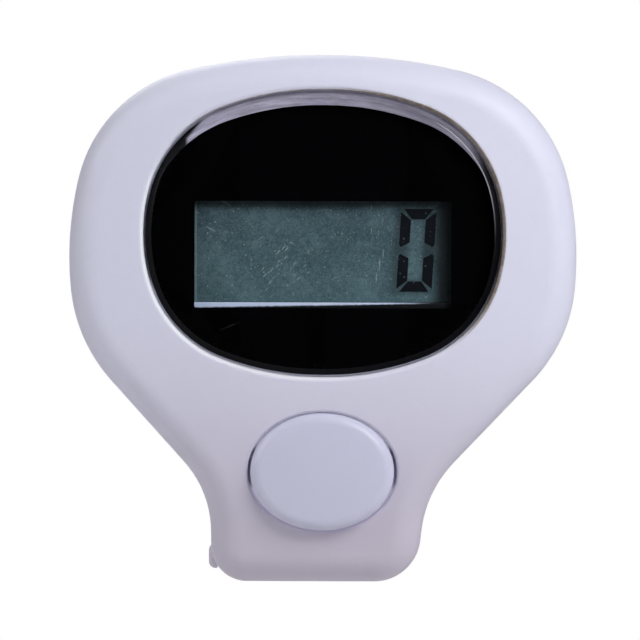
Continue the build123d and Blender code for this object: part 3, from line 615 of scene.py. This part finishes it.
def solder_mask():
    """Green board with copper tracks under the lacquer, a weave and tinned pads."""
    made = Finish("board_lacquer")
    cell = made.start.node(
        "TexVoronoi",
        {"distance": "CHEBYCHEV", "feature": "F1"},
        {"Vector": made.scaled(made.place, (0.9, 1.0, 0.9)), "Scale": 0.55, "Randomness": 0.35},
        output="Distance",
    )
    track = 1 - (cell - track_share).absolute().between(0.03, 0.06)
    weave = (made.x * weave_rate).sine() * (made.z * weave_rate).sine() * 0.5 + 0.5
    green = track.blend(linear(18, 84, 44), linear(40, 122, 66))
    pads = made.specks(0.35, 0.22, 0.35)
    return made.done(
        made.principled(
            base_color=pads.blend(green, linear(176, 176, 170)),
            metallic=pads * 0.8,
            roughness=0.34 + weave * 0.1,
            normal=made.bump(track * 0.6 + weave * 0.2 + pads * 0.5, 0.02),
        )
    )


def layered_rubber():
    """Contact strip: thin conductive black layers in grey silicone."""
    made = Finish("zebra_layers")
    layers = (made.x * layer_rate).sine() * 0.5 + 0.5
    cloud = made.noise(2.0, detail=3.0)
    colour = layers.between(0.35, 0.65).blend(linear(28, 28, 30), linear(150, 148, 146))
    rough = 0.6 + cloud * 0.15
    return made.done(made.principled(base_color=colour, roughness=rough, normal=made.bump(layers, 0.01)))


# One finish for each material slot of the record. A metal's lines run along the axis with the small number.
finishes = {
    "case_white": moulded_white("case_moulding", (221, 222, 241), 0.46, 9.0, window=True),
    "button_white": moulded_white("button_moulding", (206, 206, 229), 0.34, 14.0, mottle=0.02, glow=0.6),
    "strap_white": moulded_white("strap_moulding", (218, 219, 234), 0.55, 6.0, mottle=0.04),
    "lens_clear": clear_lens(),
    "mask_black": printed_black(),
    "tape_grey": tape_foam(),
    "lcd_face": polarizer_film(),
    "lcd_glass": display_glass(),
    "lcd_back": metal("reflector_foil", (200, 204, 206), (160, 166, 170), 0.4, lines=(0.05, 1.0, 1.0)),
    "frame_white": carrier_white(),
    "rubber_dark": layered_rubber(),
    "board_green": solder_mask(),
    "epoxy_black": plain_moulding("epoxy_drop", (8, 8, 9), (20, 20, 22), 0.18, grain=0.8),
    "chip_tan": plain_moulding("capacitor_ceramic", (150, 118, 84), (178, 146, 108), 0.5),
    "chip_black": plain_moulding("resistor_ceramic", (16, 16, 18), (40, 40, 42), 0.5),
    "switch_black": plain_moulding("switch_moulding", (20, 20, 21), (38, 38, 40), 0.5),
    "plunger_black": plain_moulding("plunger_moulding", (26, 26, 27), (44, 44, 46), 0.42),
    "cell_steel": metal("cell_plating", (208, 208, 210), (150, 150, 154), 0.26, lines=(0.2, 1.0, 1.0)),
    "contact_nickel": metal("contact_plating", (212, 206, 190), (160, 152, 136), 0.28, lines=(1.0, 1.0, 0.1)),
    "screw_steel": metal("screw_plating", (196, 196, 198), (120, 120, 124), 0.34),
}
for part in frame["record"]["subparts"]:
    node = nodes[part["node"]]
    node.data.materials.clear()
    node.data.materials.append(finishes[part["material_slot"]])


def mesh_piece(name, mesh, finish, body="case"):
    """A new piece from a bmesh, with its finish, riding on its body."""
    bmesh.ops.recalc_face_normals(mesh, faces=mesh.faces)
    data = bpy.data.meshes.new(name)
    mesh.to_mesh(data)
    mesh.free()
    piece = bpy.data.objects.new(name, data)
    bpy.context.scene.collection.objects.link(piece)
    data.materials.append(finish)
    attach(piece, body)


def plate(mesh, outline, front, back):
    """A flat closed prism on an outline of (x, z) points, between two values of y."""
    near = [mesh.verts.new((x, front, z)) for x, z in outline]
    far = [mesh.verts.new((x, back, z)) for x, z in outline]
    mesh.faces.new(near)
    mesh.faces.new(list(reversed(far)))
    for index in range(len(outline)):
        following = (index + 1) % len(outline)
        mesh.faces.new((near[following], near[index], far[index], far[following]))


def segment_outlines():
    """Outlines of the six outer segments, mitred where they meet, before the slant."""
    half_w = digit_width / 2
    half_h = digit_height / 2
    inner_w = half_w - digit_stroke
    inner_h = half_h - digit_stroke
    outer_mitre = digit_gap * 1.6
    inner_mitre = digit_gap * 0.4
    waist_outer = digit_gap * 3
    waist_tip = digit_gap * 1.8
    waist_inner = digit_gap * 4.2
    top = [
        (-half_w + outer_mitre, half_h),
        (half_w - outer_mitre, half_h),
        (inner_w - inner_mitre, inner_h),
        (-inner_w + inner_mitre, inner_h),
    ]
    side = [
        (half_w, half_h - outer_mitre),
        (half_w, waist_outer),
        (half_w - digit_gap, waist_tip),
        (inner_w, waist_inner),
        (inner_w, inner_h - inner_mitre),
    ]
    upper = [top, side, [(-x, z) for x, z in side]]
    return upper + [[(x, -z) for x, z in outline] for outline in upper]


# The digit lies on the front of the display film
digit = bmesh.new()
for outline in segment_outlines():
    placed = [((digit_centre[0] + x + z * digit_slant) * mm, (digit_centre[1] + z) * mm) for x, z in outline]
    plate(digit, placed, film_low.y - digit_depth * mm, film_low.y)
mesh_piece("display_digit", digit, segment_ink())

# Cured glue that shows through the clear rim of the lens, above and beside the black print, and glows as
# painted light. It starts and ends a little below the middle of the window.
glue_thickness = 0.03 * mm
glue_gap = 0.01 * mm
glue_steps = 120
glue_start = math.radians(-15)

# Corners of a face: how alike their levels are, the decimals that tell them apart, and the limits of the
# mask's cut-out as seen from the middle of the window, with a little to spare
same_level = 0.005 * mm
corner_decimals = 6
cutout_half_width = 9.7 * mm
cutout_top = 5.0 * mm
cutout_foot = -7.0 * mm


def face_outline(node, back):
    """The level of a node's front or back face, and the face's corners as seen from the window's middle."""
    places = [node.matrix_world @ vertex.co for vertex in node.data.vertices]
    level = max(place.y for place in places) if back else min(place.y for place in places)
    middle = window_middle * mm
    flat = [(place.x, place.z - middle) for place in places if abs(place.y - level) < same_level]
    corners = {(round(x, corner_decimals), round(z, corner_decimals)) for x, z in flat}
    return level, [Vector(corner) for corner in corners]


def on_outer_edge(corner):
    """Whether a corner of the mask is on its outer edge and not on its cut-out's."""
    return abs(corner.x) > cutout_half_width or corner.y > cutout_top or corner.y < cutout_foot


def reach(corners, along):
    """How far an outline goes from the middle in one direction."""

    def turn(corner):
        """How far round from that direction a corner is."""
        return math.atan2(along.cross(corner), along.dot(corner)) % math.tau

    ahead = min(corners, key=turn)
    behind = max(corners, key=turn)
    side = ahead - behind
    return behind.cross(side) / along.cross(side)


lens_back, lens_corners = face_outline(nodes["display_lens"], back=True)
mask_face = face_outline(nodes["display_mask"], back=False)[1]
mask_corners = [corner for corner in mask_face if on_outer_edge(corner)]
outer_edge = []
inner_edge = []
for step in range(glue_steps + 1):
    angle = glue_start + (math.pi - 2 * glue_start) * step / glue_steps
    along = Vector((math.cos(angle), math.sin(angle)))
    outer_edge.append(along * (reach(lens_corners, along) - glue_gap))
    inner_edge.append(along * (reach(mask_corners, along) + glue_gap))
crescent = [(corner.x, corner.y + window_middle * mm) for corner in outer_edge + inner_edge[::-1]]
glue = bmesh.new()
plate(glue, crescent, lens_back, lens_back + glue_thickness)
mesh_piece("rim_glue", glue, cured_glue())

# The floor lies below the foot by more than the strap swings down, so that the opened strap shows whole.
# Both are in metres.
floor_drop = 0.03
floor_reach = 0.3

# What the floor adds to the picture close by and far off, and the distances between which that grows
glow_near = 0.84
glow_far = 1.34
glow_growth = (20.0, 90.0)


def white_floor():
    """A matt white table. Its glow reaches the camera alone, grows away from the part and lights nothing."""
    made = Finish("floor_white")
    cloud = made.noise(0.004, detail=2.0)
    colour = cloud.blend((0.72, 0.715, 0.72, 1.0), (0.76, 0.755, 0.76, 1.0))
    matt = made.principled(base_color=colour, roughness=0.8, specular_ior_level=0.1)
    away = made.start.vector("LENGTH", made.place, output="Value").between(*glow_growth)
    near = made.start.node("Emission", sockets={"Color": white, "Strength": glow_near})
    far = made.start.node("Emission", sockets={"Color": white, "Strength": glow_far})
    shine = made.start.node("MixShader", sockets={0: away, 1: near, 2: far})
    both = made.start.node("AddShader", sockets={0: matt, 1: shine})
    camera_ray = made.start.node("LightPath", output="Is Camera Ray")
    return made.done(made.start.node("MixShader", sockets={0: camera_ray, 1: matt, 2: both}))


floor_mesh = bmesh.new()
bmesh.ops.create_grid(floor_mesh, x_segments=2, y_segments=2, size=floor_reach)
floor_data = bpy.data.meshes.new("floor")
floor_mesh.to_mesh(floor_data)
floor_mesh.free()
floor_data.materials.append(white_floor())
floor = bpy.data.objects.new("floor", floor_data)
floor.location.z = -floor_drop
bpy.context.scene.collection.objects.link(floor)

# The lamps all point at one place in the middle of the case, in metres
lamp_aim = Vector((0.0, 0.0, 0.022))


def lamp(name, place, size, power):
    """A round soft lamp, with its place and size in metres and its power in watts."""
    light = bpy.data.lights.new(name, "AREA")
    light.shape = "DISK"
    light.size = size
    light.energy = power
    light_object = bpy.data.objects.new(name, light)
    light_object.location = place
    light_object.rotation_euler = (lamp_aim - Vector(place)).to_track_quat("-Z", "Y").to_euler()
    bpy.context.scene.collection.objects.link(light_object)


lamp("key_upper_right", (0.120, -0.125, 0.140), 0.12, 0.305)
lamp("fill_low_front", (0.20, -0.40, 0.03), 0.15, 0.08)
lamp("side_right", (0.32, -0.135, 0.03), 0.05, 0.03)
lamp("fill_upper_left", (-0.30, -0.09, 0.16), 0.2, 0.37)
lamp("fill_back", (-0.10, 0.35, 0.30), 0.3, 0.6)

# The surroundings are white to the camera. Their light is a little stronger from above, and none comes
# from straight in front, where the flat window would mirror it.
world = bpy.data.worlds.new("studio")
bpy.context.scene.world = world
world.use_nodes = True
world.node_tree.nodes.clear()
sky = Wire(world.node_tree)
direction = sky.node("TexCoord", output="Generated")
not_in_front = direction.axis("Y").between(-0.95, -0.75)
upwards = direction.axis("Z").between(-0.6, 0.7)
ambient = not_in_front * (0.15 + upwards * 0.07)
seen = sky.node("LightPath", output="Is Camera Ray")
strength = seen + (1 - seen) * ambient
background = sky.node("Background", sockets={"Color": white, "Strength": strength})
sky.node("OutputWorld", sockets={"Surface": background})

# The camera: its distance and nearest view in metres, its angles in degrees, and the width that it shows
camera_distance = 0.5
camera_nearest = 0.01
camera_elevation = 1.5
camera_roll = 0.2
sensor_width = 36.0
frame_width = 48.16 * mm
view_centre = Vector((-0.2 * mm, 0.0, 19.6 * mm))
camera_data = bpy.data.cameras.new("camera")
camera_data.sensor_width = sensor_width
camera_data.lens = sensor_width * camera_distance / frame_width
camera_data.clip_start = camera_nearest
camera = bpy.data.objects.new("camera", camera_data)
rise = math.radians(camera_elevation)
camera.location = view_centre + Vector((0, -math.cos(rise), math.sin(rise))) * camera_distance
look = (view_centre - camera.location).to_track_quat("-Z", "Y").to_matrix()
camera.rotation_euler = (look @ Matrix.Rotation(math.radians(camera_roll), 3, "Z")).to_euler()
bpy.context.scene.collection.objects.link(camera)
bpy.context.scene.camera = camera
bpy.context.scene.view_settings.view_transform = "Standard"
